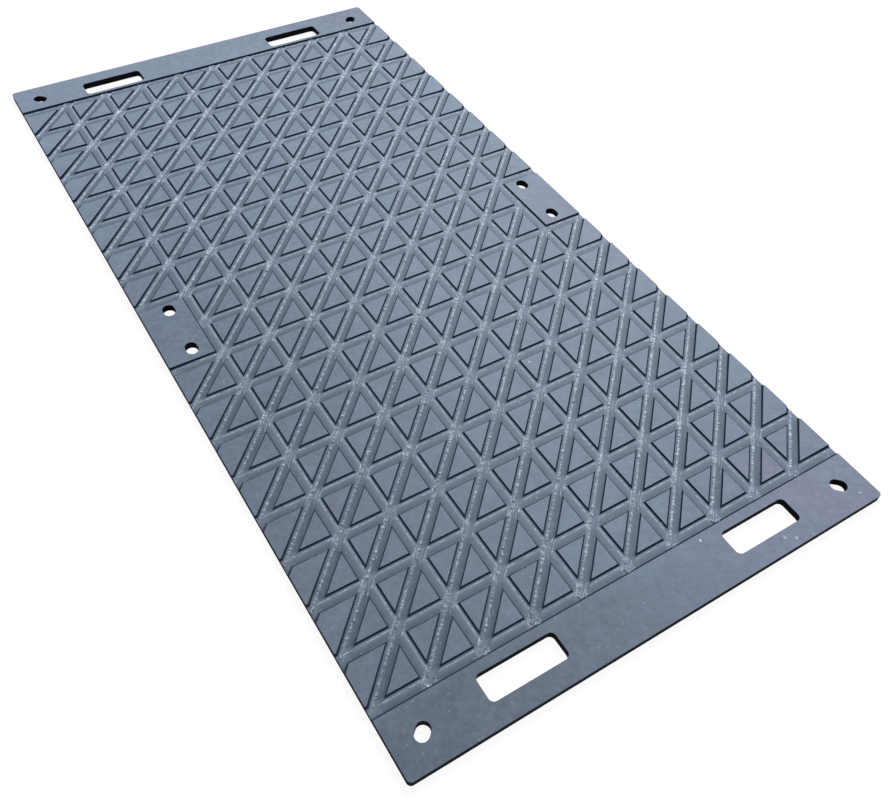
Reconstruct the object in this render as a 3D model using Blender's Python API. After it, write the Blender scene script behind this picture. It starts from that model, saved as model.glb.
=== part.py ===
"""Ground protection mat: one flat plastic sheet with a milled tread.

The tread is a square grid of grooves with one family of diagonals through
its crossings.  Metres, +Z up.  The mat lies flat with its underside at Z = 0
and its centre over the origin: X runs across it and Y along it.
"""
import math

import bpy
import bmesh
from mathutils import Matrix, Vector

SHEET_WIDTH = 1.220
SHEET_LENGTH = 2.440
SHEET_THICKNESS = 0.019
SHEET_CORNER_RADIUS = 0.010

GRID_PITCH = 0.120
TREAD_SHIFT = 0.0065
GROOVE_WIDTH = 0.030
GROOVE_DEPTH = 0.005
GROOVE_WALL_RADIUS = 0.008
GROOVE_WALL_STEPS = 3

HANDHOLD_LENGTH = 0.184
HANDHOLD_WIDTH = 0.062
HANDHOLD_CORNER_RADIUS = 0.012
HANDHOLD_END_WEB = 0.047
HANDHOLD_SIDE_INSET = 0.297
HANDHOLD_LAND = 0.009

SLOT_WIDTH = 0.030
SLOT_LENGTH = 0.040
SLOT_LAND = 0.006
CORNER_SLOT_INSET = 0.068
TAB_SLOT_INSET = 0.070
TAB_SLOT_SPACING = 0.148
TAB_SLOT_SHIFT = 0.0045

CORNER_STEPS = 8
SLOT_END_STEPS = 12
CUT_OVERRUN = 0.010

SHEET_COLOUR = (0.202, 0.242, 0.323, 1.0)
SHEET_ROUGHNESS = 0.5


def clear_scene():
    for thing in list(bpy.data.objects):
        bpy.data.objects.remove(thing, do_unlink=True)


def add_collection(name, hidden=False):
    group = bpy.data.collections.new(name)
    group.hide_render = hidden
    bpy.context.scene.collection.children.link(group)
    return group


def add_material(name, colour, roughness):
    material = bpy.data.materials.new(name)
    material.use_nodes = True
    shader = material.node_tree.nodes["Principled BSDF"]
    shader.inputs["Base Color"].default_value = colour
    shader.inputs["Roughness"].default_value = roughness
    shader.inputs["Metallic"].default_value = 0.0
    material.diffuse_color = colour
    return material


def add_prism(name, outline, height, group):
    """Fill a closed flat outline and give it a height, centred on local Z = 0."""
    curve = bpy.data.curves.new(name, "CURVE")
    curve.dimensions = "2D"
    curve.fill_mode = "BOTH"
    curve.extrude = height / 2
    spline = curve.splines.new("POLY")
    spline.points.add(len(outline) - 1)
    for point, (x, y) in zip(spline.points, outline):
        point.co = (x, y, 0.0, 1.0)
    spline.use_cyclic_u = True
    source = bpy.data.objects.new(name + "_outline", curve)
    bpy.context.scene.collection.objects.link(source)
    bpy.context.view_layer.update()
    depsgraph = bpy.context.evaluated_depsgraph_get()
    mesh = bpy.data.meshes.new_from_object(source.evaluated_get(depsgraph))
    bpy.data.objects.remove(source, do_unlink=True)
    mesh.name = name
    solid = bmesh.new()
    solid.from_mesh(mesh)
    bmesh.ops.remove_doubles(solid, verts=solid.verts, dist=1e-6)
    bmesh.ops.recalc_face_normals(solid, faces=solid.faces)
    solid.to_mesh(mesh)
    solid.free()
    prism = bpy.data.objects.new(name, mesh)
    group.objects.link(prism)
    return prism


def rounded_rectangle(width, length, radius, steps):
    """Outline of a rectangle with arcs in its corners, run anticlockwise."""
    reach_x = width / 2 - radius
    reach_y = length / 2 - radius
    corners = ((1, 1), (-1, 1), (-1, -1), (1, -1))
    outline = []
    for turn, (side_x, side_y) in enumerate(corners):
        for step in range(steps + 1):
            angle = math.radians(90) * (turn + step / steps)
            outline.append((side_x * reach_x + radius * math.cos(angle),
                            side_y * reach_y + radius * math.sin(angle)))
    return outline


def obround(width, length, steps):
    """Outline of a slot with full round ends, long way along Y."""
    radius = width / 2
    reach = length / 2 - radius
    outline = []
    for side in (1, -1):
        for step in range(steps + 1):
            angle = math.pi * step / steps
            outline.append((side * radius * math.cos(angle),
                            side * (reach + radius * math.sin(angle))))
    return outline


def groove_section():
    """Half outlines joined: hollow walls that run out level onto a flat floor."""
    half = GROOVE_WIDTH / 2
    radius = max(GROOVE_WALL_RADIUS, GROOVE_DEPTH)
    sweep = math.acos(1 - GROOVE_DEPTH / radius)
    foot = half - radius * math.sin(sweep)
    side = [(half, CUT_OVERRUN)]
    for step in range(GROOVE_WALL_STEPS + 1):
        angle = sweep * (1 - step / GROOVE_WALL_STEPS)
        side.append((foot + radius * math.sin(angle),
                     radius * (1 - math.cos(angle)) - GROOVE_DEPTH))
    return side + [(-x, y) for x, y in reversed(side)]


def grid_line_offsets(sheet_size, edge_band):
    """Groove centre lines either side of a middle one, clear of the edge band."""
    per_side = int((sheet_size / 2 - edge_band) / GRID_PITCH + 1e-6)
    return [GRID_PITCH * step for step in range(-per_side, per_side + 1)]


def tread_layout():
    """Groove centre lines across and along, and the rows that the tabs span."""
    side_band = TAB_SLOT_INSET + SLOT_WIDTH / 2 + SLOT_LAND + GROOVE_WIDTH / 2
    end_band = HANDHOLD_END_WEB + HANDHOLD_WIDTH + HANDHOLD_LAND + GROOVE_WIDTH / 2
    columns = grid_line_offsets(SHEET_WIDTH, side_band)
    row_offsets = grid_line_offsets(SHEET_LENGTH, end_band + TREAD_SHIFT)
    rows = [offset + TREAD_SHIFT for offset in row_offsets]
    slot_reach = ((TAB_SLOT_SPACING + SLOT_LENGTH) / 2 + TAB_SLOT_SHIFT
                  + SLOT_LAND + GROOVE_WIDTH / 2)
    tab_cells = math.ceil(slot_reach / GRID_PITCH - 1e-6)
    return columns, rows, tab_cells


def add_groove_cutter(name, start, end, section, group):
    """Run the groove section from one centre-line point to another."""
    start, end = Vector((*start, SHEET_THICKNESS)), Vector((*end, SHEET_THICKNESS))
    along = (end - start).normalized()
    up = Vector((0, 0, 1))
    across = up.cross(along)
    cutter = add_prism(name, section, (end - start).length, group)
    turn = Matrix((across, up, across.cross(up))).transposed().to_4x4()
    cutter.matrix_world = Matrix.Translation((start + end) / 2) @ turn
    cutter.display_type = "WIRE"
    return cutter


def add_row_grooves(columns, rows, tab_cells, section, group):
    """Crosswise grooves, out through both sides except between the tabs' holes."""
    middle = len(rows) // 2
    past_edge = SHEET_WIDTH / 2 + CUT_OVERRUN
    for index, y in enumerate(rows):
        in_tab = abs(index - middle) < tab_cells
        reach = columns[-1] if in_tab else past_edge
        add_groove_cutter(f"row_groove_{index}", (-reach, y), (reach, y), section, group)


def add_column_grooves(columns, rows, section, group):
    """Lengthwise grooves, stopped on the first and last crosswise ones."""
    for index, x in enumerate(columns):
        add_groove_cutter(f"column_groove_{index}", (x, rows[0]), (x, rows[-1]),
                          section, group)


def add_diagonal_grooves(columns, rows, tab_cells, section, group):
    """Diagonals from crossing to crossing, kept out of the end bands and tabs."""
    column_count, row_count = len(columns), len(rows)
    middle = row_count // 2
    xs = [columns[0] - GRID_PITCH] + columns + [columns[-1] + GRID_PITCH]

    def is_tread(column, row):
        if not (0 <= column <= column_count and 0 <= row < row_count - 1):
            return False
        outer = column in (0, column_count)
        return not (outer and middle - tab_cells <= row < middle + tab_cells)

    def past_side(column, row):
        """True where the next row in the outer column is tread as well."""
        return is_tread(min(max(column, 0), column_count), row)

    for row in range(row_count - 1):
        for column in range(column_count + 1):
            if not is_tread(column, row) or is_tread(column - 1, row - 1):
                continue
            last_column, last_row = column, row
            while is_tread(last_column + 1, last_row + 1):
                last_column += 1
                last_row += 1
            start = Vector((xs[column], rows[row]))
            end = Vector((xs[last_column + 1], rows[last_row + 1]))
            run_out = Vector((GRID_PITCH / 2, GRID_PITCH / 2))
            if column == 0 and past_side(-1, row - 1):
                start -= run_out
            if last_column == column_count and past_side(column_count + 1, last_row + 1):
                end += run_out
            add_groove_cutter(f"diagonal_groove_{column}_{row}", start, end, section, group)


def add_handhold_cutters(group):
    """Four hand holes, two by each end, long way across the sheet."""
    outline = rounded_rectangle(HANDHOLD_LENGTH, HANDHOLD_WIDTH,
                                HANDHOLD_CORNER_RADIUS, CORNER_STEPS)
    x = SHEET_WIDTH / 2 - HANDHOLD_SIDE_INSET
    y = SHEET_LENGTH / 2 - HANDHOLD_END_WEB - HANDHOLD_WIDTH / 2
    for side_x in (-1, 1):
        for side_y in (-1, 1):
            add_through_cutter(f"handhold_{side_x}_{side_y}", outline,
                               (side_x * x, side_y * y), 0.0, group)


def add_slot_cutters(group):
    """Fixing slots: one aimed at the middle in each corner, two in each tab."""
    outline = obround(SLOT_WIDTH, SLOT_LENGTH, SLOT_END_STEPS)
    corner_x = SHEET_WIDTH / 2 - CORNER_SLOT_INSET
    corner_y = SHEET_LENGTH / 2 - CORNER_SLOT_INSET
    tab_x = SHEET_WIDTH / 2 - TAB_SLOT_INSET
    tab_middle = TREAD_SHIFT + TAB_SLOT_SHIFT
    for side_x in (-1, 1):
        for side_y in (-1, 1):
            turn = math.radians(-45) * side_x * side_y
            add_through_cutter(f"corner_slot_{side_x}_{side_y}", outline,
                               (side_x * corner_x, side_y * corner_y), turn, group)
            tab_y = tab_middle + side_y * TAB_SLOT_SPACING / 2
            add_through_cutter(f"tab_slot_{side_x}_{side_y}", outline,
                               (side_x * tab_x, tab_y), 0.0, group)


def add_through_cutter(name, outline, centre, turn, group):
    """Place a flat outline's prism so that it goes right through the sheet."""
    cutter = add_prism(name, outline, SHEET_THICKNESS + 2 * CUT_OVERRUN, group)
    cutter.location = (*centre, SHEET_THICKNESS / 2)
    cutter.rotation_euler = (0.0, 0.0, turn)
    cutter.display_type = "WIRE"
    return cutter


def cut_away(body, name, group):
    cut = body.modifiers.new(name, "BOOLEAN")
    cut.operation = "DIFFERENCE"
    cut.solver = "EXACT"
    cut.operand_type = "COLLECTION"
    cut.collection = group


def build_mat():
    clear_scene()
    mat_parts = add_collection("ground_protection_mat")
    groove_cutters = add_collection("groove_cutters", hidden=True)
    hole_cutters = add_collection("hole_cutters", hidden=True)

    outline = rounded_rectangle(SHEET_WIDTH, SHEET_LENGTH, SHEET_CORNER_RADIUS, CORNER_STEPS)
    sheet = add_prism("mat_sheet", outline, SHEET_THICKNESS, mat_parts)
    sheet.data.transform(Matrix.Translation((0.0, 0.0, SHEET_THICKNESS / 2)))
    sheet.data.materials.append(
        add_material("sheet_plastic", SHEET_COLOUR, SHEET_ROUGHNESS))

    columns, rows, tab_cells = tread_layout()
    section = groove_section()
    add_row_grooves(columns, rows, tab_cells, section, groove_cutters)
    add_column_grooves(columns, rows, section, groove_cutters)
    add_diagonal_grooves(columns, rows, tab_cells, section, groove_cutters)
    add_handhold_cutters(hole_cutters)
    add_slot_cutters(hole_cutters)
    cut_away(sheet, "tread", groove_cutters)
    cut_away(sheet, "holes", hole_cutters)


build_mat()
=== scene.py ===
import math

import bpy
import numpy as np
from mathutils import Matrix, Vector


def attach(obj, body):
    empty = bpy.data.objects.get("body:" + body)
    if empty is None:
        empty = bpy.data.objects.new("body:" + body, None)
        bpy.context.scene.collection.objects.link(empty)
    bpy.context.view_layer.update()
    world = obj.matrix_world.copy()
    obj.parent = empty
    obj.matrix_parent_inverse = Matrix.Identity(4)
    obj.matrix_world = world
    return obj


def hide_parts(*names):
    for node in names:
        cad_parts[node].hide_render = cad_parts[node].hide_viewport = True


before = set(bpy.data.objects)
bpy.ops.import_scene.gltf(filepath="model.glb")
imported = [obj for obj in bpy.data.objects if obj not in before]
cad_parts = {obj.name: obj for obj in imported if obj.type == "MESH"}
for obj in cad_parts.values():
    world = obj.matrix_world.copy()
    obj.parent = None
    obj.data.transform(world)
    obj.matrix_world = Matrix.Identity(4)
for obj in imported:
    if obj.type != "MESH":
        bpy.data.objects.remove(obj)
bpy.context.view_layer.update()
scene = bpy.context.scene
print("frame loaded")

# the tread's layout, in metres, as the sheet was milled
tread = {
    "pitch": 0.120,
    "shift": 0.0065,            # the milled field sits this far toward the far end
    "columnsEachSide": 4,
    "rowsEachSide": 9,
    "floorZ": 0.014,
    "topZ": 0.019,
    "sideX": 0.610,
    "tabX": 0.480,
}


def gridLines(eachSide, shift=0.0):
    return [tread["pitch"] * k + shift for k in range(-eachSide, eachSide + 1)]


columnXs = gridLines(tread["columnsEachSide"])
rowYs = gridLines(tread["rowsEachSide"], tread["shift"])


# node helpers
def addNode(tree, kind, settings=None, feeds=None):
    node = tree.nodes.new(kind)
    for name, value in (settings or {}).items():
        setattr(node, name, value)
    for name, value in (feeds or {}).items():
        if isinstance(value, bpy.types.NodeSocket):
            tree.links.new(value, node.inputs[name])
        else:
            node.inputs[name].default_value = value
    return node


def calc(tree, operation, a, b=0.0, c=0.0, clamp=False):
    node = addNode(tree, "ShaderNodeMath", {"operation": operation, "use_clamp": clamp}, {0: a, 1: b, 2: c})
    return node.outputs[0]


def fold(tree, operation, values):
    result = values[0]
    for value in values[1:]:
        result = calc(tree, operation, result, value)
    return result


def times(tree, *values):
    return fold(tree, "MULTIPLY", values)


def plus(tree, *values):
    return fold(tree, "ADD", values)


def highest(tree, *values):
    return fold(tree, "MAXIMUM", values)


def unsigned(tree, value):
    return calc(tree, "ABSOLUTE", value)


def without(tree, mask):
    return calc(tree, "SUBTRACT", 1.0, mask)


def blendColour(tree, mask, first, second):
    node = addNode(tree, "ShaderNodeMix", {"data_type": "RGBA"}, {0: mask, 6: first, 7: second})
    return node.outputs[2]


def scaleColour(tree, colour, amount):
    node = addNode(tree, "ShaderNodeVectorMath", {"operation": "SCALE"}, {0: colour, "Scale": amount})
    return node.outputs[0]


def remap(tree, value, lowIn, highIn, lowOut=0.0, highOut=1.0, smooth=True):
    node = addNode(tree, "ShaderNodeMapRange", {"interpolation_type": "SMOOTHSTEP" if smooth else "LINEAR"},
                   {"Value": value, "From Min": lowIn, "From Max": highIn,
                    "To Min": lowOut, "To Max": highOut})
    return node.outputs["Result"]


# 1 along a line, soft at both sides
def bandMask(tree, distance, middle, reach, core=0.25):
    away = unsigned(tree, calc(tree, "SUBTRACT", distance, middle))
    return remap(tree, away, reach, reach * core)


# a fade along x times a fade along y
def cornerMask(tree, x, y, alongX, alongY):
    return times(tree, remap(tree, x, *alongX), remap(tree, y, *alongY))


def objectPlace(tree):
    return addNode(tree, "ShaderNodeTexCoord").outputs["Object"]


def objectAxes(tree):
    return addNode(tree, "ShaderNodeSeparateXYZ", None, {0: objectPlace(tree)}).outputs


def newGroup(name, inputs, outputs):
    tree = bpy.data.node_groups.new(name, "ShaderNodeTree")
    for label, value in inputs.items():
        socket = tree.interface.new_socket(label, in_out="INPUT", socket_type="NodeSocketFloat")
        socket.default_value = value
    for label in outputs:
        tree.interface.new_socket(label, in_out="OUTPUT", socket_type="NodeSocketFloat")
    return tree, tree.nodes.new("NodeGroupInput"), tree.nodes.new("NodeGroupOutput")


def useGroup(tree, group, feeds=None):
    return addNode(tree, "ShaderNodeGroup", {"node_tree": group}, feeds).outputs


# where the masks of the groove floors and of the walls' painted shade begin and end
faceMask = {
    "floorFade": (tread["floorZ"] + 0.0030, tread["floorZ"] + 0.0002),
    "wallTilt": (0.015, 0.105),         # 1 minus the normal's z
    # the painted shade on the walls reaches further down their slope at the far end
    "wallGainY": (0.1, 1.0, 1.0, 2.3),  # walls are dark further down their slope at the far end
}


# how far a point is from the nearest groove line of each kind, and what face it lies on
def makeTreadMap():
    tree, source, result = newGroup("treadMap", {"Pitch": tread["pitch"], "Shift": tread["shift"]},
                                    ["Row", "Column", "Diagonal", "Floor", "Steep"])
    x, y, z = objectAxes(tree)
    half = times(tree, source.outputs["Pitch"], 0.5)
    minusHalf = times(tree, half, -1.0)
    yTread = calc(tree, "SUBTRACT", y, source.outputs["Shift"])
    across = calc(tree, "WRAP", calc(tree, "SUBTRACT", x, yTread), half, minusHalf)
    normal = addNode(tree, "ShaderNodeNewGeometry").outputs["Normal"]
    upward = addNode(tree, "ShaderNodeSeparateXYZ", None, {0: normal}).outputs[2]
    # the wall mask grows toward the far end, so the walls' painted shade reaches further down there
    tilt = times(tree, without(tree, upward), remap(tree, y, *faceMask["wallGainY"]))
    found = {
        "Row": calc(tree, "WRAP", yTread, half, minusHalf),
        "Column": calc(tree, "WRAP", x, half, minusHalf),
        "Diagonal": times(tree, across, math.sqrt(0.5)),
        "Floor": remap(tree, z, *faceMask["floorFade"]),
        "Steep": remap(tree, tilt, *faceMask["wallTilt"]),
    }
    for name, value in found.items():
        tree.links.new(value, result.inputs[name])
    return tree


# soft cloudy stains at a chosen scale, centred on 0
def makeCloudMap():
    tree, source, result = newGroup("cloudMap", {"Scale": 3.0, "Stretch": 1.0, "Turn": 0.0, "Detail": 4.0},
                                    ["Value"])
    turn = addNode(tree, "ShaderNodeVectorRotate", {"rotation_type": "Z_AXIS"},
                   {"Vector": objectPlace(tree), "Angle": source.outputs["Turn"]})
    squeeze = addNode(tree, "ShaderNodeCombineXYZ", None, {0: source.outputs["Stretch"], 1: 1.0, 2: 1.0})
    pulled = addNode(tree, "ShaderNodeVectorMath", {"operation": "MULTIPLY"},
                     {0: turn.outputs[0], 1: squeeze.outputs[0]})
    noise = addNode(tree, "ShaderNodeTexNoise", None,
                    {"Vector": pulled.outputs[0], "Scale": source.outputs["Scale"],
                     "Detail": source.outputs["Detail"], "Roughness": 0.6})
    tree.links.new(calc(tree, "SUBTRACT", noise.outputs["Fac"], 0.5), result.inputs["Value"])
    return tree


# how ragged the specks are, and how their strength varies from one to the next
speckShape = {"wobbleScale": 260.0, "wobble": 0.006, "core": 0.35, "power": 1.5, "weakest": 0.25}


# small pale crumbs of plastic pressed on the surface, ragged in outline
def makeFleckMap():
    tree, source, result = newGroup("fleckMap", {"Scale": 60.0, "Size": 0.12, "Share": 0.2}, ["Mask"])
    place = objectPlace(tree)
    wobble = addNode(tree, "ShaderNodeTexNoise", None,
                     {"Vector": place, "Scale": speckShape["wobbleScale"], "Detail": 2.0})
    push = scaleColour(tree, wobble.outputs["Color"], speckShape["wobble"])
    ragged = addNode(tree, "ShaderNodeVectorMath", {"operation": "ADD"}, {0: place, 1: push})
    cells = addNode(tree, "ShaderNodeTexVoronoi", None,
                    {"Vector": ragged.outputs[0], "Scale": source.outputs["Scale"], "Randomness": 1.0})
    size = source.outputs["Size"]
    spot = remap(tree, cells.outputs["Distance"], size, times(tree, size, speckShape["core"]))
    split = addNode(tree, "ShaderNodeSeparateColor", None, {0: cells.outputs["Color"]})
    chosen = calc(tree, "LESS_THAN", split.outputs[0], source.outputs["Share"])
    strength = calc(tree, "POWER", split.outputs[1], speckShape["power"])
    strength = plus(tree, times(tree, strength, 1 - speckShape["weakest"]), speckShape["weakest"])
    tree.links.new(times(tree, spot, chosen, strength), result.inputs["Mask"])
    return tree


treadMap = makeTreadMap()
cloudMap = makeCloudMap()
fleckMap = makeFleckMap()


def startMaterial(name, roughness, specular):
    material = bpy.data.materials.new(name)
    material.use_nodes = True
    tree = material.node_tree
    shader = tree.nodes["Principled BSDF"]
    shader.inputs["Roughness"].default_value = roughness
    shader.inputs["Specular IOR Level"].default_value = specular
    return material, tree, shader


def relief(tree, shader, height, strength, distance):
    feeds = {"Strength": strength, "Distance": distance, "Height": height}
    bump = addNode(tree, "ShaderNodeBump", None, feeds)
    tree.links.new(bump.outputs["Normal"], shader.inputs["Normal"])


# the sheet's weathered blue-grey plastic, on pads, bands and groove floors
sheetFinish = {
    "padColour": (0.229, 0.299, 0.404, 1.0),
    "stainColour": (0.262, 0.286, 0.412, 1.0),
    # groove floors are darker than the pads: a rougher milled face, and painted shade in the recess
    "floorColour": (0.138, 0.183, 0.257, 1.0),
    # the painted highlight and sheen on the groove floors by the far and right walls
    "paintedHighlightColour": (0.305, 0.385, 0.508, 1.0),
    # the painted shade of the groove walls, and its less dark version for the near left corner
    "wallShadeColour": (0.012, 0.023, 0.047, 1.0),
    "nearWallShadeColour": (0.034, 0.050, 0.080, 1.0),
    "fleckColour": (0.62, 0.72, 0.86, 1.0),
    # the broken dark lines on the pads' edges
    "darkMarkColour": (0.075, 0.100, 0.145, 1.0),
    "scuffColour": (0.285, 0.365, 0.488, 1.0),
    "roughness": 0.60,
    "specular": 0.28,
    "wallSpecular": 0.04,
    "cloudRoughness": 0.35,
    "wallRoughness": 0.2,       # how much rougher a groove's wall is
    "relief": (0.35, 0.0006),
    "sawRelief": 0.5,
    "fineRelief": 0.6,
    "millRelief": 1.2,
    "speckRelief": 0.8,
}
# each cloud or streak on the sheet
sheetClouds = {
    "big": {"Scale": 2.6, "Detail": 5.0},
    "mid": {"Scale": 15.0, "Detail": 4.0, "Turn": 0.7},
    "fine": {"Scale": 95.0, "Detail": 5.0},
    "blotch": {"Scale": 44.0, "Detail": 6.0, "Turn": 1.3},
    "saw": {"Scale": 330.0, "Stretch": 0.05, "Turn": math.radians(30), "Detail": 2.0},
    "mill": {"Scale": 300.0, "Stretch": 0.09, "Turn": math.radians(-45), "Detail": 2.0},
    "curve": {"Scale": 31.0, "Stretch": 0.45, "Turn": 0.4, "Detail": 0.0},
    "otherCurve": {"Scale": 24.0, "Stretch": 0.35, "Turn": -1.0, "Detail": 0.0},
}
# each kind of pale speck on the sheet
sheetSpecks = {
    "fleck": {"Scale": 66.0, "Size": 0.125, "Share": 0.85},
    "crumb": {"Scale": 140.0, "Size": 0.20, "Share": 0.34},
    "dust": {"Scale": 270.0, "Size": 0.32, "Share": 0.34},
}


# the sockets that the layers of the sheet's finish read
def readSheet(tree):
    x, y = objectAxes(tree)[:2]
    where = useGroup(tree, treadMap)
    at = {"x": x, "y": y}
    for name in ("Row", "Column", "Diagonal", "Floor", "Steep"):
        at[name.lower()] = where[name]
    for name, feeds in sheetClouds.items():
        at[name] = useGroup(tree, cloudMap, feeds)[0]
    for name, feeds in sheetSpecks.items():
        at[name] = useGroup(tree, fleckMap, feeds)[0]
    return at


# from and to along x or y, in metres, then the amounts at both ends where they aren't 0 and 1
padShade = {
    "stainFade": (-0.02, 0.16),
    "stainShare": 0.5,
    "violetY": (-0.95, -1.12),
    "violetX": (0.0, 0.35),
    "violetShare": 0.55,
    "fineMottle": 0.56,
    "midMottle": 0.26,
    "blotchMottle": 0.42,
    "sawMottleX": (-0.5, 0.35, 0.08, 0.36),
    # painted shade, darker toward the left and the near end
    "leftShadeX": (0.15, -0.55),
    "leftShadeY": (1.0, -0.3, -0.08, 0.22),
    "nearBandY": (-1.06, -1.12),
    "nearBandX": (0.45, -0.10, -0.06, 0.13),
    "farBandY": (1.02, 1.16),
    "farBandX": (0.05, 0.50, 0.0, 0.14),
}


# pads and bands are cloudy and a little violet in their stains; painted shade darkens them toward the left
# and near end, and they are duller in bands at the near and far ends
def shadePads(tree, at):
    shade = padShade
    x, y = at["x"], at["y"]
    stain = remap(tree, at["big"], *shade["stainFade"])
    violet = cornerMask(tree, x, y, shade["violetX"], shade["violetY"])
    tint = calc(tree, "ADD", times(tree, stain, shade["stainShare"]),
                times(tree, violet, shade["violetShare"]), clamp=True)
    colour = blendColour(tree, tint, sheetFinish["padColour"], sheetFinish["stainColour"])
    # groove floors take the darker floor colour, partly painted shade in the recess
    colour = blendColour(tree, at["floor"], colour, sheetFinish["floorColour"])
    sawShare = remap(tree, x, *shade["sawMottleX"])
    mottle = plus(tree, times(tree, at["fine"], shade["fineMottle"]),
                  times(tree, at["mid"], shade["midMottle"]), times(tree, at["saw"], sawShare),
                  times(tree, at["blotch"], shade["blotchMottle"]))
    # painted shade toward the left and near end; the near and far bands are duller as well
    leftShade = cornerMask(tree, x, y, shade["leftShadeX"], shade["leftShadeY"])
    nearBand = cornerMask(tree, x, y, shade["nearBandX"], shade["nearBandY"])
    farBand = cornerMask(tree, x, y, shade["farBandX"], shade["farBandY"])
    shadeAndDulling = times(tree, plus(tree, leftShade, nearBand, farBand), -1.0)
    return scaleColour(tree, colour, plus(tree, mottle, shadeAndDulling, 1.0))


# places across a groove from its centre line, in metres, and how strong each mark is
floorMarks = {
    "grooveSide": (0.0152, 0.0142),
    "offDiagonal": (0.0110, 0.0150),
    "onDiagonal": (0.0140, 0.0120),
    "rowFootHighlight": (0.0066, 0.0036),        # middle and reach of the painted highlight line
    "columnFootHighlight": (0.0062, 0.0040),
    "rowHighlightY": (-0.7, 0.9, 1.0, 0.35),     # fainter toward the far end
    "highlightShare": 0.60,
    "rowSheen": (-0.008, 0.006),
    "columnSheen": (-0.012, 0.004),
    "sheenShare": 0.34,
    "underCrest": (-0.0050, 0.0065),
    "crestShare": 0.40,
    "diagonalShadeLine": (0.0100, 0.0070),
    "diagonalShadeShare": 0.20,
    "crossing": (0.030, 0.004),
    "crossingGrain": (-0.16, 0.20),
    "crossingShare": 0.30,
    "millFade": (0.06, 0.22),
    "millShare": 0.45,
}


# groove floors have a painted sheen on their far and right half and a painted highlight along the wall's
# foot, are scuffed under the crest, and carry painted shade beside each diagonal
def markFloors(tree, at, colour):
    marks = floorMarks
    offCentre = {name: unsigned(tree, at[name]) for name in ("row", "column", "diagonal")}
    inRow = remap(tree, offCentre["row"], *marks["grooveSide"])
    inColumn = remap(tree, offCentre["column"], *marks["grooveSide"])
    offDiagonal = remap(tree, offCentre["diagonal"], *marks["offDiagonal"])
    onDiagonal = remap(tree, offCentre["diagonal"], *marks["onDiagonal"])

    # painted sheen on the far and right half of the row and column floors
    rowSheen = times(tree, remap(tree, at["row"], *marks["rowSheen"]), inRow)
    columnSheen = times(tree, remap(tree, at["column"], *marks["columnSheen"]), inColumn)
    floorSheen = times(tree, highest(tree, rowSheen, columnSheen), at["floor"], marks["sheenShare"])
    colour = blendColour(tree, floorSheen, colour, sheetFinish["paintedHighlightColour"])

    # a painted highlight line along the foot of the far and right walls
    rowFootHighlight = times(tree, bandMask(tree, at["row"], *marks["rowFootHighlight"]), inRow,
                    remap(tree, at["y"], *marks["rowHighlightY"]))
    columnFootHighlight = times(tree, bandMask(tree, at["column"], *marks["columnFootHighlight"]), inColumn)
    foot = times(tree, highest(tree, rowFootHighlight, columnFootHighlight), offDiagonal, at["floor"], marks["highlightShare"])
    colour = blendColour(tree, foot, colour, sheetFinish["paintedHighlightColour"])

    underCrest = times(tree, bandMask(tree, at["diagonal"], *marks["underCrest"]), at["floor"],
                       marks["crestShare"])
    colour = blendColour(tree, underCrest, colour, sheetFinish["scuffColour"])
    # painted shade in a band beside each diagonal's centre line
    grimeAndShade = times(tree, bandMask(tree, at["diagonal"], *marks["diagonalShadeLine"]), at["floor"],
                  marks["diagonalShadeShare"])
    colour = blendColour(tree, grimeAndShade, colour, sheetFinish["wallShadeColour"])

    # crossings are hazy with scuffs
    haze = times(tree, remap(tree, offCentre["row"], *marks["crossing"]),
                 remap(tree, offCentre["column"], *marks["crossing"]), at["floor"],
                 remap(tree, at["fine"], *marks["crossingGrain"]), marks["crossingShare"])
    colour = blendColour(tree, haze, colour, sheetFinish["scuffColour"])
    scuff = times(tree, remap(tree, at["mill"], *marks["millFade"]), at["floor"], onDiagonal,
                  marks["millShare"])
    return blendColour(tree, scuff, colour, sheetFinish["scuffColour"])


# places on the sheet and across a groove, in metres, and how strong each mark is
padMarks = {
    "scratchWidth": (0.0100, 0.0025),       # in the value of the cloud that a scratch follows
    "scratchPatch": (0.03, 0.14),
    "scratchShare": 0.35,
    "edgeLine": (-0.0157, 0.0012),
    "edgeBreaks": (-0.06, 0.05, 0.05, 0.90),
    "insideTabs": (0.4820, 0.4800),
    "pastTabs": (0.050, 0.060),
    "insideColumns": (0.5100, 0.5080),
    "offDiagonal": (0.0145, 0.0160),
    "fromNearBand": (-1.0860, -1.0840),
    "toFarBand": (1.1010, 1.0990),
}


def markPads(tree, at, colour):
    marks = padMarks
    onPad = without(tree, at["floor"])
    # thin curved scratches, in patches
    thin = calc(tree, "MINIMUM", unsigned(tree, at["curve"]), unsigned(tree, at["otherCurve"]))
    scratch = times(tree, remap(tree, thin, *marks["scratchWidth"]),
                    remap(tree, at["mid"], *marks["scratchPatch"]), onPad, marks["scratchShare"])
    colour = blendColour(tree, scratch, colour, sheetFinish["scuffColour"])

    # broken dark lines on the pads' edges, on the near and left sides of the grooves
    offMiddle = unsigned(tree, at["x"])
    offTab = highest(tree, remap(tree, offMiddle, *marks["insideTabs"]),
                     remap(tree, unsigned(tree, at["y"]), *marks["pastTabs"]))
    rowEdge = times(tree, bandMask(tree, at["row"], *marks["edgeLine"]), offTab)
    columnEdge = times(tree, bandMask(tree, at["column"], *marks["edgeLine"]),
                       remap(tree, offMiddle, *marks["insideColumns"]))
    edge = times(tree, highest(tree, rowEdge, columnEdge), onPad,
                 remap(tree, unsigned(tree, at["diagonal"]), *marks["offDiagonal"]),
                 remap(tree, at["blotch"], *marks["edgeBreaks"]),
                 remap(tree, at["y"], *marks["fromNearBand"]), remap(tree, at["y"], *marks["toFarBand"]))
    return blendColour(tree, edge, colour, sheetFinish["darkMarkColour"])


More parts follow.
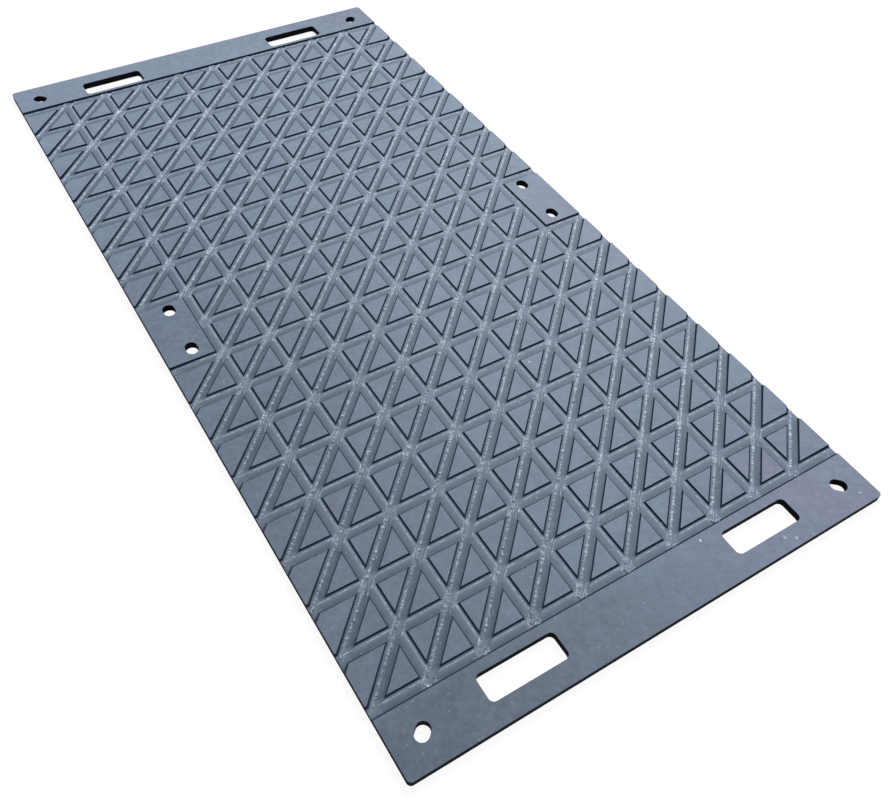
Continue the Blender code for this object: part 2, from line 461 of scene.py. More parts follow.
# how strong each kind of speck is, and the chips that lie in places of their own
speckMarks = {
    "fleckShare": 0.85,
    "crumbShare": 0.34,
    "dustShare": 0.42,
    "dustPatch": (0.02, 0.12),
    "chipRagged": 0.012,
    "chipCore": 0.6,
    # bright chips of swarf pressed flat on the face: x, y and reach of each
    "chips": ((0.3356, -1.1892, 0.0042), (0.3582, -1.2024, 0.0030), (0.5704, -1.1909, 0.0034),
              (0.1338, -1.0256, 0.0030), (0.1731, -1.1033, 0.0032), (0.1506, -0.5034, 0.0036)),
}


def paleSpecks(tree, at):
    marks = speckMarks
    dustPatch = times(tree, remap(tree, at["mid"], *marks["dustPatch"]), marks["dustShare"])
    pale = highest(tree, times(tree, at["fleck"], marks["fleckShare"]),
                   times(tree, at["crumb"], marks["crumbShare"]), times(tree, at["dust"], dustPatch))
    flat = addNode(tree, "ShaderNodeCombineXYZ", None, {0: at["x"], 1: at["y"], 2: 0.0}).outputs[0]
    ragged = times(tree, at["fine"], marks["chipRagged"])
    for chipX, chipY, reach in marks["chips"]:
        gap = addNode(tree, "ShaderNodeVectorMath", {"operation": "DISTANCE"},
                      {0: flat, 1: (chipX, chipY, 0.0)})
        away = plus(tree, gap.outputs["Value"], ragged)
        pale = highest(tree, pale, remap(tree, away, reach, reach * marks["chipCore"]))
    return pale


# the groove walls' painted shade is less dark toward the near left corner
wallShade = {"x": (0.25, -0.35), "y": (0.3, -0.8)}


def makeSheetPlastic(name, specular):
    material, tree, shader = startMaterial(name, sheetFinish["roughness"], specular)
    at = readSheet(tree)
    colour = shadePads(tree, at)
    colour = markFloors(tree, at, colour)
    colour = markPads(tree, at, colour)
    pale = paleSpecks(tree, at)
    colour = blendColour(tree, pale, colour, sheetFinish["fleckColour"])
    # groove walls are painted near-black as painted shade
    nearLeft = cornerMask(tree, at["x"], at["y"], wallShade["x"], wallShade["y"])
    wall = blendColour(tree, nearLeft, sheetFinish["wallShadeColour"], sheetFinish["nearWallShadeColour"])
    colour = blendColour(tree, at["steep"], colour, wall)
    tree.links.new(colour, shader.inputs["Base Color"])

    gloss = plus(tree, times(tree, at["fine"], sheetFinish["cloudRoughness"]), sheetFinish["roughness"],
                 times(tree, at["steep"], sheetFinish["wallRoughness"]))
    tree.links.new(gloss, shader.inputs["Roughness"])
    height = plus(tree, times(tree, at["saw"], sheetFinish["sawRelief"]),
                  times(tree, at["fine"], sheetFinish["fineRelief"]),
                  times(tree, at["mill"], sheetFinish["millRelief"], at["floor"]),
                  times(tree, pale, sheetFinish["speckRelief"]))
    relief(tree, shader, height, *sheetFinish["relief"])
    return material


# sawn edges and hole walls: a little darker than the face as sawn plastic, and painted near-black as painted
# shade
wallFinish = {
    "colour": (0.008, 0.010, 0.014, 1.0),
    "cloudColour": (0.020, 0.025, 0.034, 1.0),
    "cloud": {"Scale": 260.0, "Detail": 3.0},
    "cloudFade": (-0.05, 0.25),
    "roughness": 0.8,
    "specular": 0.04,
    "relief": (0.3, 0.0005),
}
# the rubbed top rims of the sheet, pads and holes
rimFinish = {
    "colour": (0.120, 0.157, 0.215, 1.0),
    "cloudColour": (0.235, 0.302, 0.392, 1.0),
    "cloud": {"Scale": 90.0, "Detail": 4.0},
    "cloudFade": (-0.05, 0.18),
    "roughness": 0.5,
    "specular": 0.4,
    "relief": (0.3, 0.0004),
}


# two colours mixed by one cloud, which is also the relief
def makeTwoTone(name, finish):
    material, tree, shader = startMaterial(name, finish["roughness"], finish["specular"])
    cloud = useGroup(tree, cloudMap, finish["cloud"])[0]
    mask = remap(tree, cloud, *finish["cloudFade"])
    colour = blendColour(tree, mask, finish["colour"], finish["cloudColour"])
    tree.links.new(colour, shader.inputs["Base Color"])
    relief(tree, shader, cloud, *finish["relief"])
    return material


# the plain underside, dulled by the ground and marked by dragging
underFinish = {
    "colour": (0.165, 0.216, 0.290, 1.0),
    "darkMarkColour": (0.140, 0.178, 0.232, 1.0),
    "dragColour": (0.300, 0.375, 0.480, 1.0),
    "roughness": 0.66,
    "relief": (0.35, 0.0005),
    "grime": {"Scale": 7.0, "Detail": 7.0},
    "fine": {"Scale": 95.0, "Detail": 5.0},
    "drag": {"Scale": 210.0, "Stretch": 0.03, "Turn": math.radians(83), "Detail": 3.0},
    "crossDrag": {"Scale": 170.0, "Stretch": 0.04, "Turn": math.radians(12), "Detail": 3.0},
    "crumbs": {"Scale": 90.0, "Size": 0.15, "Share": 0.30},
    "grimeFade": (-0.14, 0.18),
    "dragFade": (0.07, 0.22),
    "crossDragFade": (0.14, 0.26),
    "crossDragShare": 0.6,
    "patchFade": (0.12, -0.10, 0.2, 0.8),
    "crumbShare": 0.5,
    "mottle": 0.5,
}


def makeUnderside():
    finish = underFinish
    material, tree, shader = startMaterial("groundSide", finish["roughness"], sheetFinish["specular"])
    grime, fine, drag, crossDrag = (useGroup(tree, cloudMap, finish[name])[0]
                                    for name in ("grime", "fine", "drag", "crossDrag"))
    crumbs = useGroup(tree, fleckMap, finish["crumbs"])[0]
    grimeAndShade = remap(tree, grime, *finish["grimeFade"])
    colour = blendColour(tree, grimeAndShade, finish["colour"], finish["darkMarkColour"])
    marks = highest(tree, remap(tree, drag, *finish["dragFade"]),
                    times(tree, remap(tree, crossDrag, *finish["crossDragFade"]), finish["crossDragShare"]))
    marks = times(tree, marks, remap(tree, grime, *finish["patchFade"]))
    marks = highest(tree, marks, times(tree, crumbs, finish["crumbShare"]))
    colour = blendColour(tree, marks, colour, finish["dragColour"])
    colour = scaleColour(tree, colour, plus(tree, times(tree, fine, finish["mottle"]), 1.0))
    tree.links.new(colour, shader.inputs["Base Color"])
    relief(tree, shader, plus(tree, drag, fine), *finish["relief"])
    return material


# torn plastic that the cutter threw up: pale on its tops, partly its own pale torn plastic and partly a
# painted highlight, darker where it is low
tornFinish = {
    "crest": {
        "lowColour": (0.250, 0.325, 0.435, 1.0),
        "topColour": (0.820, 0.900, 0.990, 1.0),
        "topHeight": 0.0020,
        "spread": 1.6,          # how much the grain varies the paleness
        "bare": 0.05,           # below this it keeps its low colour
        "nearShade": 0.74,
    },
    "burr": {
        "lowColour": (0.290, 0.370, 0.485, 1.0),
        "topColour": (0.780, 0.860, 0.970, 1.0),
        "topHeight": 0.0007,
        "spread": 1.3,
        "bare": -0.03,
        "nearShade": 0.98,
    },
    "roughness": 0.5,
    "specular": 0.30,
    "relief": (0.5, 0.0005),
    "grain": {"Scale": 330.0, "Detail": 3.0},
    "patches": {"Scale": 85.0, "Detail": 3.0},
    "ticks": {"Scale": 310.0, "Stretch": 0.14, "Turn": math.radians(45), "Detail": 2.0},
    "rise": 0.27,               # what height alone adds to the paleness, partly as a painted highlight on the tops
    "riseFrom": 0.1,            # from this share of the top height
    "patchSpread": 1.1,
    "tickSpread": 1.4,
    "fade": 0.55,
    "farShade": 1.06,
    "nearX": (0.40, -0.45),
    "nearY": (0.7, -0.6),
}


def makeTornPlastic(name, kind):
    finish = tornFinish
    own = finish[kind]
    material, tree, shader = startMaterial(name, finish["roughness"], finish["specular"])
    x, y, z = objectAxes(tree)
    grain, patches, ticks = (useGroup(tree, cloudMap, finish[cloud])[0]
                             for cloud in ("grain", "patches", "ticks"))
    # paler with height: partly a painted highlight on the tops
    rise = remap(tree, z, tread["floorZ"] + own["topHeight"] * finish["riseFrom"],
                 tread["floorZ"] + own["topHeight"], 0.0, finish["rise"], smooth=False)
    lift = plus(tree, rise, times(tree, grain, own["spread"]), times(tree, patches, finish["patchSpread"]),
                times(tree, ticks, finish["tickSpread"]))
    lift = remap(tree, lift, own["bare"], own["bare"] + finish["fade"])
    colour = blendColour(tree, lift, own["lowColour"], own["topColour"])
    # painted shade: duller toward the near left corner and a little brighter at the far right, as the pads'
    # painted shade is
    shadeAndDulling = cornerMask(tree, x, y, finish["nearX"], finish["nearY"])
    shade = remap(tree, shadeAndDulling, 0.0, 1.0, finish["farShade"], own["nearShade"], smooth=False)
    colour = scaleColour(tree, colour, shade)
    tree.links.new(colour, shader.inputs["Base Color"])
    relief(tree, shader, grain, *finish["relief"])
    return material


sheetPlastic = makeSheetPlastic("weatheredPlastic", sheetFinish["specular"])
cutWall = makeSheetPlastic("cutWall", sheetFinish["wallSpecular"])
sawnWall = makeTwoTone("sawnWall", wallFinish)
rubbedRim = makeTwoTone("rubbedRim", rimFinish)
groundSide = makeUnderside()
crestPlastic = makeTornPlastic("tornCrest", "crest")
burrPlastic = makeTornPlastic("tornBurr", "burr")
print("finishes made")


# shaping helpers
def deselectAll():
    bpy.ops.object.select_all(action="DESELECT")


def makeActive(piece):
    deselectAll()
    piece.select_set(True)
    bpy.context.view_layer.objects.active = piece


def applyModifier(piece, kind, **settings):
    makeActive(piece)
    modifier = piece.modifiers.new(kind.lower(), kind)
    for name, value in settings.items():
        setattr(modifier, name, value)
    bpy.ops.object.modifier_apply(modifier=modifier.name)


def readPoints(piece):
    points = np.empty(len(piece.data.vertices) * 3)
    piece.data.vertices.foreach_get("co", points)
    return points.reshape(-1, 3)


def writePoints(piece, points):
    piece.data.vertices.foreach_set("co", points.ravel())
    piece.data.update()


def copyPiece(piece):
    copied = piece.copy()
    copied.data = piece.data.copy()
    scene.collection.objects.link(copied)
    return copied


def joinAll(pieces, name):
    deselectAll()
    for piece in pieces:
        piece.select_set(True)
    bpy.context.view_layer.objects.active = pieces[0]
    if len(pieces) > 1:
        bpy.ops.object.join()
    joined = bpy.context.view_layer.objects.active
    joined.name = name
    joined.data.name = name
    deselectAll()
    return joined


# a flat strip of faces, one long and one wide, to be bent into shape
def makeStrip(facesAlong, facesAcross):
    deselectAll()
    bpy.ops.mesh.primitive_grid_add(x_subdivisions=facesAlong, y_subdivisions=facesAcross, size=1.0)
    return bpy.context.active_object


# the sheet itself
sheetShape = {
    "mergeWithin": 0.00001,
    "levelWithin": 0.5,         # degrees between faces that are made one
    "rimWidth": 0.0004,
    "rimSegments": 2,
    "rimAngle": 38,
    "rimDepth": 0.0001,         # how near the top an edge lies to be a rim
    "smoothAngle": 34,
    "levelNormal": 0.995,       # a face whose normal's z is above this is level
    "grooveNormal": 0.9,        # and below this it is a groove's wall
    "sawnNormal": 0.2,
    "underNormal": -0.9,
}
# the finish of each kind of face, in the order of the sheet's list of materials
faceFinishes = {
    "top": sheetPlastic,
    "sawn": sawnWall,
    "rim": rubbedRim,
    "under": groundSide,
    "groove": cutWall,
}
finishNumber = {name: number for number, name in enumerate(faceFinishes)}


def finishFor(upward):
    if upward < sheetShape["underNormal"]:
        return finishNumber["under"]
    if upward < sheetShape["sawnNormal"]:
        return finishNumber["sawn"]
    if upward < sheetShape["grooveNormal"]:
        return finishNumber["groove"]
    return finishNumber["top"]


# bevels the sharp edges that lie in the sheet's upper face
def softenRims(sheet):
    mesh = sheet.data
    facing = {}
    for face in mesh.polygons:
        for key in face.edge_keys:
            facing.setdefault(key, []).append(face.normal)
    limit = math.cos(math.radians(sheetShape["rimAngle"]))
    lowest = tread["topZ"] - sheetShape["rimDepth"]
    for edge in mesh.edges:
        normals = facing.get(edge.key, [])
        onTop = all(mesh.vertices[index].co.z > lowest for index in edge.vertices)
        edge.select = onTop and len(normals) == 2 and normals[0].dot(normals[1]) < limit
    makeActive(sheet)
    # by edges, or the level edges between two rims would be cut as well
    scene.tool_settings.mesh_select_mode = (False, True, False)
    bpy.ops.object.mode_set(mode="EDIT")
    bpy.ops.mesh.bevel(offset=sheetShape["rimWidth"], segments=sheetShape["rimSegments"],
                       affect="EDGES", clamp_overlap=False, material=finishNumber["rim"])
    bpy.ops.mesh.select_all(action="DESELECT")
    bpy.ops.object.mode_set(mode="OBJECT")


# parts level faces, rims and groove walls from each other, so that each keeps its own shading
def keepFacesCrisp(sheet):
    mesh = sheet.data
    kindsAt = {}
    for face in mesh.polygons:
        kind = "level" if face.normal.z > sheetShape["levelNormal"] else "wall"
        if face.material_index == finishNumber["rim"]:
            kind = "rim"
        for key in face.edge_keys:
            kindsAt.setdefault(key, set()).add(kind)
    for edge in mesh.edges:
        if len(kindsAt.get(edge.key, ())) > 1:
            edge.use_edge_sharp = True


def buildSheet():
    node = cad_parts["mat_sheet"]
    sheet = bpy.data.objects.new("milledSheet", node.data.copy())
    scene.collection.objects.link(sheet)
    makeActive(sheet)
    bpy.ops.object.mode_set(mode="EDIT")
    bpy.ops.mesh.select_all(action="SELECT")
    bpy.ops.mesh.remove_doubles(threshold=sheetShape["mergeWithin"])
    bpy.ops.mesh.dissolve_limited(angle_limit=math.radians(sheetShape["levelWithin"]))
    bpy.ops.mesh.select_all(action="DESELECT")
    bpy.ops.object.mode_set(mode="OBJECT")

    sheet.data.materials.clear()
    for finish in faceFinishes.values():
        sheet.data.materials.append(finish)
    for face in sheet.data.polygons:
        face.material_index = finishFor(face.normal.z)
    softenRims(sheet)
    makeActive(sheet)
    bpy.ops.mesh.customdata_custom_splitnormals_clear()
    bpy.ops.object.shade_smooth_by_angle(angle=math.radians(sheetShape["smoothAngle"]))
    keepFacesCrisp(sheet)
    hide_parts("mat_sheet")
    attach(sheet, "root")
    print("sheet:", len(sheet.data.polygons), "faces")


buildSheet()


# beaded crest that the chattering cutter left along every diagonal
crestShape = {
    "beadPitch": 0.0200,
    "stations": 10,             # faces along one bead's pitch
    "facesAcross": 4,
    "halfWidth": 0.0052,
    "height": 0.0022,
    "lowBetween": 0.50,         # share of the height that is left between beads
    "narrowBetween": 0.62,      # and of the width
    "beadReach": 0.19,          # how far a bead swells along its pitch, as a share of it
    "neckSwell": 0.45,          # the smaller swell between two beads, and its reach
    "neckReach": 0.12,
    "sideDip": 0.56,            # half turns of the crown's curve from middle to side
    "offset": 0.0050,           # toward the upper left wall
    "endGap": 0.004,
    "overrun": 0.012,           # past the side edges, where it is then cut flush
    "sunk": 0.0003,             # how far the ends lie under the floor and inside the side edges
    "belowTop": 0.001,
    "shortestRun": 0.02,
    "beadEase": 2.6,            # how soon a bead's own height and shift fade toward its neighbours
    "tallVaries": 0.30,
    "tallLimits": (0.35, 1.6),
    "slideVaries": 0.0022,
    "wanderVaries": 0.0015,
    "wanderOver": 3,            # beads that the wander is evened out over
    "raggedVaries": 0.34,
    "raggedLimits": (0.25, 1.7),
    "acrossVaries": 0.0004,
    "alongVaries": 0.0005,
    "mergeWithin": 0.00002,
    "endWithin": 0.00001,       # points this near a run's end belong to it
    "seed": 11,
}


# start and end of each straight run of diagonal, clear of the tabs and past the side edges
def diagonalRuns():
    pitch = tread["pitch"]
    reach = tread["rowsEachSide"] * pitch
    side = tread["sideX"] + crestShape["overrun"]
    diagonalsEachSide = tread["rowsEachSide"] + tread["columnsEachSide"]
    runs = []
    for k in range(-diagonalsEachSide, diagonalsEachSide + 1):
        across = k * pitch          # x where this diagonal crosses the middle row
        low, high = max(-reach, -side - across), min(reach, side - across)
        rightTab = (max(tread["tabX"] - across, -pitch), pitch)
        leftTab = (-pitch, min(-tread["tabX"] - across, pitch))
        spans = [(low, high)]
        for tabLow, tabHigh in (rightTab, leftTab):
            if tabHigh > tabLow:
                spans = [piece for first, last in spans
                         for piece in ((first, min(last, tabLow)), (max(first, tabHigh), last))]
        for first, last in spans:
            if last - first > crestShape["shortestRun"]:
                runs.append(((first + across, first + tread["shift"]),
                             (last + across, last + tread["shift"])))
    return runs


# one pitch of crest with its bead in the middle
def makeBead():
    shape = crestShape
    bead = makeStrip(shape["stations"], shape["facesAcross"])
    points = readPoints(bead)
    along, across = points[:, 0].copy(), points[:, 1] * 2
    swell = np.exp(-(along / shape["beadReach"]) ** 2)
    swell += shape["neckSwell"] * np.exp(-((np.abs(along) - 0.5) / shape["neckReach"]) ** 2)
    crown = np.cos(np.abs(across) * math.pi * shape["sideDip"])
    tall = shape["lowBetween"] + (1 - shape["lowBetween"]) * swell
    wide = shape["narrowBetween"] + (1 - shape["narrowBetween"]) * swell
    points[:, 0] = along * shape["beadPitch"]
    points[:, 1] = across * shape["halfWidth"] * wide
    points[:, 2] = crown * shape["height"] * np.where(crown > 0, tall, 1.0)
    writePoints(bead, points)
    return bead


# one run of beads, each with a height and place of its own, laid from one point to another
def layBeads(bead, start, end, randomSource):
    shape = crestShape
    pitch = shape["beadPitch"]
    (x0, y0), (x1, y1) = start, end
    length = math.hypot(x1 - x0, y1 - y0)
    room = length - 2 * shape["endGap"]
    count = max(1, round(room / pitch))
    strip = copyPiece(bead)
    applyModifier(strip, "ARRAY", count=count, use_relative_offset=False, use_constant_offset=True,
                  constant_offset_displace=(pitch, 0, 0), use_merge_vertices=True,
                  merge_threshold=shape["mergeWithin"])
    points = readPoints(strip)
    along = points[:, 0] + pitch / 2
    number = np.clip((along / pitch).astype(int), 0, count - 1)
    inBead = np.clip(1 - np.abs(along / pitch - number - 0.5) * shape["beadEase"], 0, 1)
    tall = np.clip(randomSource.normal(1.0, shape["tallVaries"], count), *shape["tallLimits"])
    slide = randomSource.normal(0, shape["slideVaries"], count)
    over = shape["wanderOver"]
    wander = randomSource.normal(0, shape["wanderVaries"], count + 2 * over)
    wander = np.convolve(wander, np.ones(over) / over, "same")[:count]
    ragged = np.clip(1 + randomSource.normal(0, shape["raggedVaries"], len(points)), *shape["raggedLimits"])
    atEnd = (along < shape["endWithin"]) | (along > count * pitch - shape["endWithin"])
    points[:, 2] *= np.where(points[:, 2] > 0, (1 + (tall[number] - 1) * inBead) * ragged, 1.0)
    points[atEnd, 2] = -shape["sunk"]
    points[:, 1] += wander[number] * inBead + randomSource.normal(0, shape["acrossVaries"], len(points))
    points[:, 0] += slide[number] * inBead + randomSource.normal(0, shape["alongVaries"], len(points))

    ux, uy = (x1 - x0) / length, (y1 - y0) / length
    s = shape["endGap"] + (points[:, 0] + pitch / 2) * (room / (count * pitch))
    d = points[:, 1] + shape["offset"]
    flush = tread["sideX"] - shape["sunk"]
    s = np.clip(s, (-flush - x0 + uy * d) / ux, (flush - x0 + uy * d) / ux)
    z = np.minimum(points[:, 2] + tread["floorZ"], tread["topZ"] - shape["belowTop"])
    writePoints(strip, np.stack((x0 + ux * s - uy * d, y0 + uy * s + ux * d, z), 1))
    return strip


def buildCrest():
    randomSource = np.random.default_rng(crestShape["seed"])
    bead = makeBead()
    strips = [layBeads(bead, start, end, randomSource) for start, end in diagonalRuns()]
    bpy.data.objects.remove(bead, do_unlink=True)
    crest = joinAll(strips, "chatterCrest")
    crest.data.materials.clear()
    crest.data.materials.append(crestPlastic)
    makeActive(crest)
    bpy.ops.object.shade_smooth()
    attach(crest, "root")
    print("crest:", len(crest.data.polygons), "faces")


buildCrest()


# thin burrs: along the foot of the walls, through the crossings and round the grooves' ends
burrShape = {
    "footAt": 0.0070,           # from a row's or column's centre line
    "footVaries": 0.00018,
    "footAfter": 0.0305,        # starts this far past a crossing, beyond its diagonal
    "footBefore": 0.0105,       # and stops this far short of the next
    "footFromSide": 0.0035,     # its ends by the sheet's long edges
    "shortestFoot": 0.01,
    "scoreLines": (-0.0052, 0.0012, 0.0074, 0.0092),
    "scoreStraight": (0.0, 0.004),      # lines between these don't flare
    "scoreMissing": 0.12,
    "scoreReach": (0.018, 0.034),
    "scoreStart": 0.006,        # shorter ends on the first and last rows
    "scoreEnd": 0.004,
    "scoreFlare": 0.0030,
    "scoreFlareAt": 0.030,
    "scoreVaries": 0.0006,
    "scoreTurns": 0.04,
    "scoreLimit": 0.0125,
    "wrapKept": 0.94,
    "wrapRagged": 0.00045,
    "wrapShifts": 0.0004,
    # round a pad's corner, from a row's foot line to a column's, on both sides of a diagonal
    "nearWrap": ((0.0330, 0.0086), (0.0270, 0.0084), (0.0225, 0.0062), (0.0190, 0.0028), (0.0150, -0.0010),
                 (0.0110, -0.0050), (0.0070, -0.0090), (0.0030, -0.0130), (-0.0014, -0.0176)),
    "farWrap": ((0.0088, 0.0320), (0.0086, 0.0275), (0.0064, 0.0228), (0.0030, 0.0190), (-0.0010, 0.0150),
                (-0.0050, 0.0110), (-0.0090, 0.0070), (-0.0130, 0.0030), (-0.0178, -0.0016)),
    "ringRadii": (0.0125, 0.0105, 0.0080),
    "ringTurn": (-0.12, 1.12),  # half turns from start to end
    "ringRagged": 0.0009,
    "ringOut": 0.0005,
    "tallLimits": (0.2, 1.8),
    "wideVaries": 0.7,          # a ridge's width varies by this share of what its height does
    "wideLimits": (0.4, 1.6),
    "sunk": 0.0003,             # how far a ridge's sides lie under the floor
    "endSunk": 0.0001,
    "smoothAngle": 75,
    "seed": 5,
}
# faces along a ridge of each kind, its size in metres and how much its height varies
ridgeKinds = {
    "foot": {"faces": 14, "halfWidth": 0.0013, "height": 0.00070, "varies": 0.3},
    "score": {"faces": 8, "halfWidth": 0.00095, "height": 0.00080, "varies": 0.3},
    "wrap": {"faces": 8, "halfWidth": 0.0015, "height": 0.0014, "varies": 0.3},
    "ring": {"faces": 18, "halfWidth": 0.001425, "height": 0.0012, "varies": 0.6},
}


# a low ridge two faces across that follows a path on the groove floor
def makeRidge(template, path, kind, randomSource):
    shape = burrShape
    ridge = copyPiece(template)
    points = readPoints(ridge)
    last = len(path) - 1
    station = np.rint((points[:, 0] + 0.5) * last).astype(int)
    across = points[:, 1] * 2
    heading = np.gradient(path, axis=0)
    heading /= np.maximum(np.linalg.norm(heading, axis=1), 1e-9)[:, None]
    tall = randomSource.normal(1.0, kind["varies"], last + 1)
    tall = kind["height"] * np.clip(tall, *shape["tallLimits"])
    tall[[0, -1]] = -shape["endSunk"]
    wide = randomSource.normal(1.0, kind["varies"] * shape["wideVaries"], last + 1)
    wide = kind["halfWidth"] * np.clip(wide, *shape["wideLimits"])
    side = np.stack((-heading[:, 1], heading[:, 0]), 1)
    flat = path[station] + side[station] * (across * wide[station])[:, None]
    z = np.where(np.abs(across) < 0.5, tall[station], -shape["sunk"])
    writePoints(ridge, np.column_stack((flat, z + tread["floorZ"])))
    return ridge


# the lengths of wall foot between one crossing and the next, on the far and right sides of the grooves
def footRuns():
    shape = burrShape
    runs = []
    side = tread["sideX"] - shape["footFromSide"]
    gaps = list(zip(columnXs, columnXs[1:]))
    spans = [(low + shape["footAfter"], high - shape["footBefore"]) for low, high in gaps]
    first = (-side, columnXs[0] - shape["footBefore"])
    last = (columnXs[-1] + shape["footAfter"], side)
    for index, y in enumerate(rowYs):
        inTab = index == len(rowYs) // 2
        for low, high in (spans if inTab else [first] + spans + [last]):
            if high - low > shape["shortestFoot"]:
                runs.append(((low, y + shape["footAt"]), (high, y + shape["footAt"])))
    for x in columnXs:
        for low, high in zip(rowYs, rowYs[1:]):
            runs.append(((x + shape["footAt"], low + shape["footAfter"]),
                         (x + shape["footAt"], high - shape["footBefore"])))
    return runs


def footPaths(randomSource):
    share = np.linspace(0, 1, ridgeKinds["foot"]["faces"] + 1)[:, None]
    for start, end in footRuns():
        path = np.array(start) * (1 - share) + np.array(end) * share
        yield path + randomSource.normal(0, burrShape["footVaries"], path.shape)


# long scratches that the diagonals' cutter drew through each crossing
def scorePaths(randomSource):
    shape = burrShape
    stations = ridgeKinds["score"]["faces"] + 1
    leftmost, rightmost = shape["scoreStraight"]
    q = math.sqrt(0.5)
    paths = []
    for index, y in enumerate(rowYs):
        for x in columnXs:
            for line in shape["scoreLines"]:
                if randomSource.random() < shape["scoreMissing"]:
                    continue
                reachBack, reachOn = randomSource.uniform(*shape["scoreReach"], 2)
                if index == 0:
                    reachBack = shape["scoreStart"]
                if index == len(rowYs) - 1:
                    reachOn = shape["scoreEnd"]
                s = np.linspace(-reachBack, reachOn, stations)
                way = 1 if line > rightmost else -1 if line < leftmost else 0
                bow = shape["scoreFlare"] * (s / shape["scoreFlareAt"]) ** 2 * way
                d = line + bow + randomSource.normal(0, shape["scoreVaries"])
                d = d + randomSource.normal(0, shape["scoreTurns"]) * s
                d = np.clip(d, -shape["scoreLimit"], shape["scoreLimit"])
                paths.append(np.stack((x + q * (s - d), y + q * (s + d)), 1))
    return paths


# burrs that the diagonals' cutter left round the pads' corners
def wrapPaths(randomSource):
    shape = burrShape
    near, far = np.array(shape["nearWrap"]), np.array(shape["farWrap"])
    paths = []
    for index, y in enumerate(rowYs):
        for x in columnXs:
            for wrap, wanted in ((near, index > 0), (far, index < len(rowYs) - 1)):
                if wanted and randomSource.random() < shape["wrapKept"]:
                    ragged = randomSource.normal(0, shape["wrapRagged"], wrap.shape)
                    paths.append(wrap + (ragged + randomSource.normal(0, shape["wrapShifts"], 2)) + (x, y))
    return paths


# ragged U-shaped scuffs where the grooves end on the first and last rows
def ringPaths(randomSource):
    shape = burrShape
    stations = ridgeKinds["ring"]["faces"] + 1
    turn = np.linspace(*shape["ringTurn"], stations) * math.pi
    paths = []
    for y, way in ((rowYs[0], -1), (rowYs[-1], 1)):
        for x in columnXs:
            for radius in shape["ringRadii"]:
                ragged = radius + randomSource.normal(0, shape["ringRagged"], stations)
                outward = ragged * np.sin(turn) + shape["ringOut"]
                paths.append(np.stack((x + ragged * np.cos(turn), y + way * outward), 1))
    return paths


# one ridge along each path, all shaped from one strip
def layRidges(paths, kind, randomSource):
    template = makeStrip(kind["faces"], 2)
    ridges = [makeRidge(template, path, kind, randomSource) for path in paths]
    bpy.data.objects.remove(template, do_unlink=True)
    return ridges


def buildBurrs():
    randomSource = np.random.default_rng(burrShape["seed"])
    pathMakers = {"foot": footPaths, "score": scorePaths, "wrap": wrapPaths, "ring": ringPaths}
    pieces = []
    for kind, makePaths in pathMakers.items():
        pieces += layRidges(makePaths(randomSource), ridgeKinds[kind], randomSource)
    burrs = joinAll(pieces, "floorBurrs")
    burrs.data.materials.clear()
    burrs.data.materials.append(burrPlastic)
    makeActive(burrs)
    bpy.ops.object.shade_smooth_by_angle(angle=math.radians(burrShape["smoothAngle"]))
    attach(burrs, "root")
    print("burrs:", len(burrs.data.polygons), "faces")


buildBurrs()


# floor and light
stage = {
    "floorSize": 60.0,
    "floorZ": -0.0002,
    "floorColour": (0.80, 0.80, 0.80, 1.0),
    "seenColour": (0.16, 0.16, 0.16, 1.0),      # shows the shadow where the floor itself is seen
    "floorGlow": 0.93,
    "fill": 0.17,
    "keyPower": 870.0,
    "keySize": 4.0,
    "keyPlace": (5.4, 4.5, 7.1),
    "keyAim": (0.0, 0.0, 0.0),
}


# 1 where something is seen straight, in a reflection or through glass
def seenMask(tree):
    path = addNode(tree, "ShaderNodeLightPath").outputs
    return highest(tree, path["Is Camera Ray"], path["Is Glossy Ray"], path["Is Transmission Ray"])


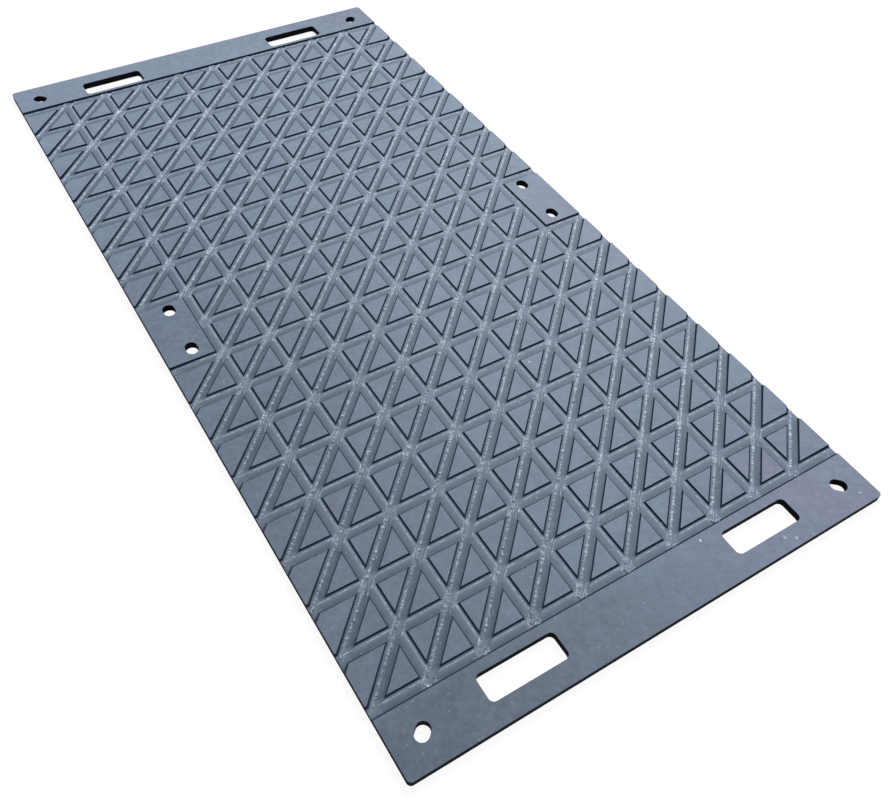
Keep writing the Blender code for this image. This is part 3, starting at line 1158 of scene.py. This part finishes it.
def buildFloor():
    deselectAll()
    bpy.ops.mesh.primitive_plane_add(size=stage["floorSize"], location=(0, 0, stage["floorZ"]))
    floor = bpy.context.active_object
    floor.name = "studioFloor"
    material = bpy.data.materials.new("studioWhite")
    material.use_nodes = True
    tree = material.node_tree
    tree.nodes.clear()
    matte = addNode(tree, "ShaderNodeBsdfDiffuse", None, {"Color": stage["floorColour"]})
    faint = addNode(tree, "ShaderNodeBsdfDiffuse", None, {"Color": stage["seenColour"]})
    glow = addNode(tree, "ShaderNodeEmission", None, {"Strength": stage["floorGlow"]})
    both = addNode(tree, "ShaderNodeAddShader", None, {0: faint.outputs[0], 1: glow.outputs[0]})
    mix = addNode(tree, "ShaderNodeMixShader", None,
                  {0: seenMask(tree), 1: matte.outputs[0], 2: both.outputs[0]})
    addNode(tree, "ShaderNodeOutputMaterial", None, {"Surface": mix.outputs[0]})
    floor.data.materials.append(material)


def buildLight():
    world = bpy.data.worlds.new("studioWorld")
    scene.world = world
    world.use_nodes = True
    tree = world.node_tree
    back = tree.nodes["Background"]
    strength = addNode(tree, "ShaderNodeMix", {"data_type": "FLOAT"},
                       {0: seenMask(tree), 2: stage["fill"], 3: 1.0})
    back.inputs["Color"].default_value = (1, 1, 1, 1)
    tree.links.new(strength.outputs[0], back.inputs["Strength"])

    lamp = bpy.data.lights.new("keyLight", "AREA")
    lamp.energy = stage["keyPower"]
    lamp.shape = "SQUARE"
    lamp.size = stage["keySize"]
    key = bpy.data.objects.new("keyLight", lamp)
    scene.collection.objects.link(key)
    key.location = stage["keyPlace"]
    key.rotation_euler = (Vector(stage["keyAim"]) - key.location).to_track_quat("-Z", "Y").to_euler()


# the camera at the photograph's place, found from the square grid of grooves
photoView = {
    "lens": 38.0741,
    "sensor": 36.0,
    "shift": (-0.5 / 891, 0.5 / 891),           # half a pixel of the photograph's width
    "place": (-0.91295, -1.67582, 1.70645),
    "turn": (40.15967, -2.73986, -31.87450),
}


def buildCamera():
    lens = bpy.data.cameras.new("photoCamera")
    lens.lens = photoView["lens"]
    lens.sensor_width = photoView["sensor"]
    lens.sensor_fit = "HORIZONTAL"
    lens.shift_x, lens.shift_y = photoView["shift"]
    camera = bpy.data.objects.new("photoCamera", lens)
    scene.collection.objects.link(camera)
    camera.location = photoView["place"]
    camera.rotation_euler = [math.radians(angle) for angle in photoView["turn"]]
    scene.camera = camera


buildFloor()
buildLight()
buildCamera()
scene.view_settings.view_transform = "Standard"
print("stage set")
